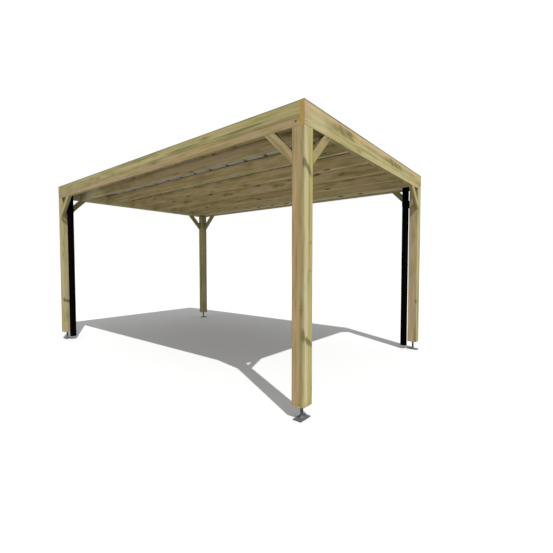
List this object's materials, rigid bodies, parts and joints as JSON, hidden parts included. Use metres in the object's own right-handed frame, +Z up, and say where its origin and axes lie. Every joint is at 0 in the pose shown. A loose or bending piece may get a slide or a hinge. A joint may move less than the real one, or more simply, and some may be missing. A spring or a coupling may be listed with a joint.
{
  "type": "timber carport",
  "caption": "Open flat-roofed carport of planed pine: square posts on steel feet, knee braces, deep edge beams, joists, profiled roof sheets, hidden gutters and black downpipes.",
  "frame": {"origin": "on the ground, at the middle of the plan", "axes": "+X across the width to the right of the front, +Y along the length towards the back, +Z up; the open front is at -Y"},
  "size_m": [3.02, 4.88, 2.51],
  "materials": {
    "post_pine": "planed, green-tinted by pressure treatment",
    "beam_pine": "planed, green-tinted by pressure treatment",
    "brace_pine": "planed, green-tinted by pressure treatment",
    "joist_pine": "planed, green-tinted by pressure treatment",
    "roof_sheet": "coil-coated grey steel",
    "gutter": "black coated folded aluminium",
    "pipe_plastic": "extruded black plastic",
    "foot_steel": "dull zinc-plated steel"
  },
  "bodies": {
    "root": {"post_front_left": "post_pine", "post_front_right": "post_pine", "post_back_left": "post_pine", "post_back_right": "post_pine", "foot_front_left": "foot_steel", "foot_front_right": "foot_steel", "foot_back_left": "foot_steel", "foot_back_right": "foot_steel", "front_beam": "beam_pine", "back_beam": "beam_pine", "left_beam": "beam_pine", "right_beam": "beam_pine", "brace_front_left": "brace_pine", "brace_front_right": "brace_pine", "brace_back_left": "brace_pine", "brace_back_right": "brace_pine", "brace_left_front": "brace_pine", "brace_left_back": "brace_pine", "brace_right_front": "brace_pine", "brace_right_back": "brace_pine", "joist_1": "joist_pine", "joist_2": "joist_pine", "joist_3": "joist_pine", "joist_4": "joist_pine", "joist_5": "joist_pine", "joist_6": "joist_pine", "roof_sheet_1": "roof_sheet", "roof_sheet_2": "roof_sheet", "roof_sheet_3": "roof_sheet", "roof_sheet_4": "roof_sheet", "roof_sheet_5": "roof_sheet", "flashing_front": "roof_sheet", "flashing_back": "roof_sheet", "gutter_left": "gutter", "gutter_right": "gutter", "downpipe_front_right": "pipe_plastic", "downpipe_back_left": "pipe_plastic", "pipe_clip_front_right": "pipe_plastic", "pipe_clip_back_left": "pipe_plastic"}
  },
  "joints": []
}
